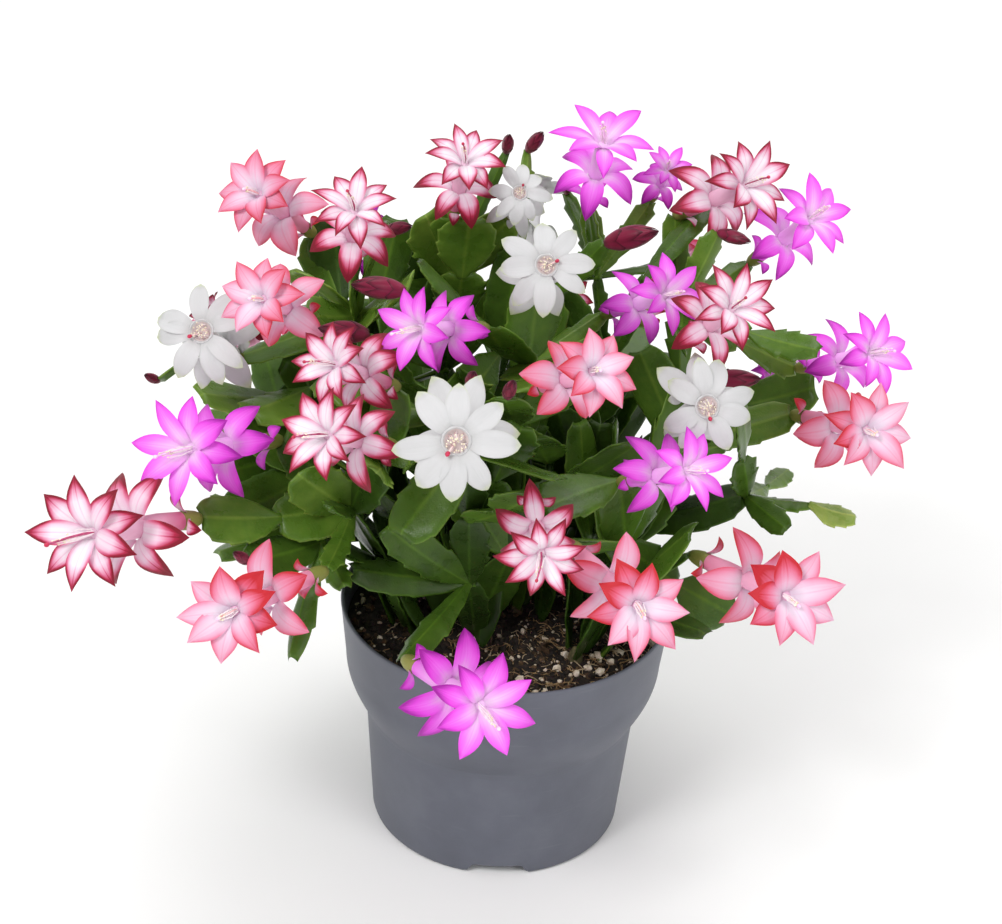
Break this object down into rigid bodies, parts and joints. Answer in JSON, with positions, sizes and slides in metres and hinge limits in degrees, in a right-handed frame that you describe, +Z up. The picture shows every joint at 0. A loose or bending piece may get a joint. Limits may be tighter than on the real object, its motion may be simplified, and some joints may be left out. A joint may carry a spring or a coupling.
{
  "type": "potted christmas cactus",
  "caption": "Flowering christmas cactus with flat, arching, toothed stems and blooms in magenta, salmon, white and crimson-edged white, in a dark grey plastic nursery pot.",
  "frame": {"origin": "middle of the pot's underside, on the surface that the pot stands on", "axes": "+Z up, -Y towards the front of the plant, +X to its right"},
  "size_m": [0.3092, 0.2914, 0.2891],
  "materials": {
    "pot_plastic": "satin",
    "potting_mix": "matte",
    "stem_green": "satin",
    "petal_crimson": "satin",
    "petal_salmon": "satin",
    "petal_magenta": "satin",
    "petal_white": "satin",
    "bud_red": "satin"
  },
  "bodies": {
    "root": {"pot": "pot_plastic", "potting_mix": "potting_mix", "cutting_back_left": "stem_green", "cutting_back_right": "stem_green", "cutting_front": "stem_green", "cutting_front_left": "stem_green", "cutting_front_right": "stem_green", "cutting_left": "stem_green", "cutting_middle": "stem_green", "cutting_right": "stem_green", "flower_crimson_1": "petal_crimson", "flower_crimson_2": "petal_crimson", "flower_crimson_3": "petal_crimson", "flower_crimson_4": "petal_crimson", "flower_crimson_5": "petal_crimson", "flower_crimson_6": "petal_crimson", "flower_crimson_7": "petal_crimson", "flower_crimson_8": "petal_crimson", "flower_crimson_9": "petal_crimson", "flower_crimson_10": "petal_crimson", "flower_magenta_1": "petal_magenta", "flower_magenta_2": "petal_magenta", "flower_magenta_3": "petal_magenta", "flower_magenta_4": "petal_magenta", "flower_magenta_5": "petal_magenta", "flower_magenta_6": "petal_magenta", "flower_magenta_7": "petal_magenta", "flower_magenta_8": "petal_magenta", "flower_magenta_9": "petal_magenta", "flower_magenta_10": "petal_magenta", "flower_magenta_11": "petal_magenta", "flower_salmon_1": "petal_salmon", "flower_salmon_2": "petal_salmon", "flower_salmon_3": "petal_salmon", "flower_salmon_4": "petal_salmon", "flower_salmon_5": "petal_salmon", "flower_salmon_6": "petal_salmon", "flower_salmon_7": "petal_salmon", "flower_salmon_8": "petal_salmon", "flower_salmon_9": "petal_salmon", "flower_white_1": "petal_white", "flower_white_2": "petal_white", "flower_white_3": "petal_white", "flower_white_4": "petal_white", "flower_white_5": "petal_white", "flower_white_6": "petal_white", "flower_white_7": "petal_white", "bud_1": "bud_red", "bud_2": "bud_red", "bud_3": "bud_red", "bud_4": "bud_red", "bud_5": "bud_red", "bud_6": "bud_red", "bud_7": "bud_red", "bud_8": "bud_red", "bud_9": "bud_red", "bud_10": "bud_red", "bud_11": "bud_red", "bud_12": "bud_red", "bud_13": "bud_red"}
  },
  "joints": []
}
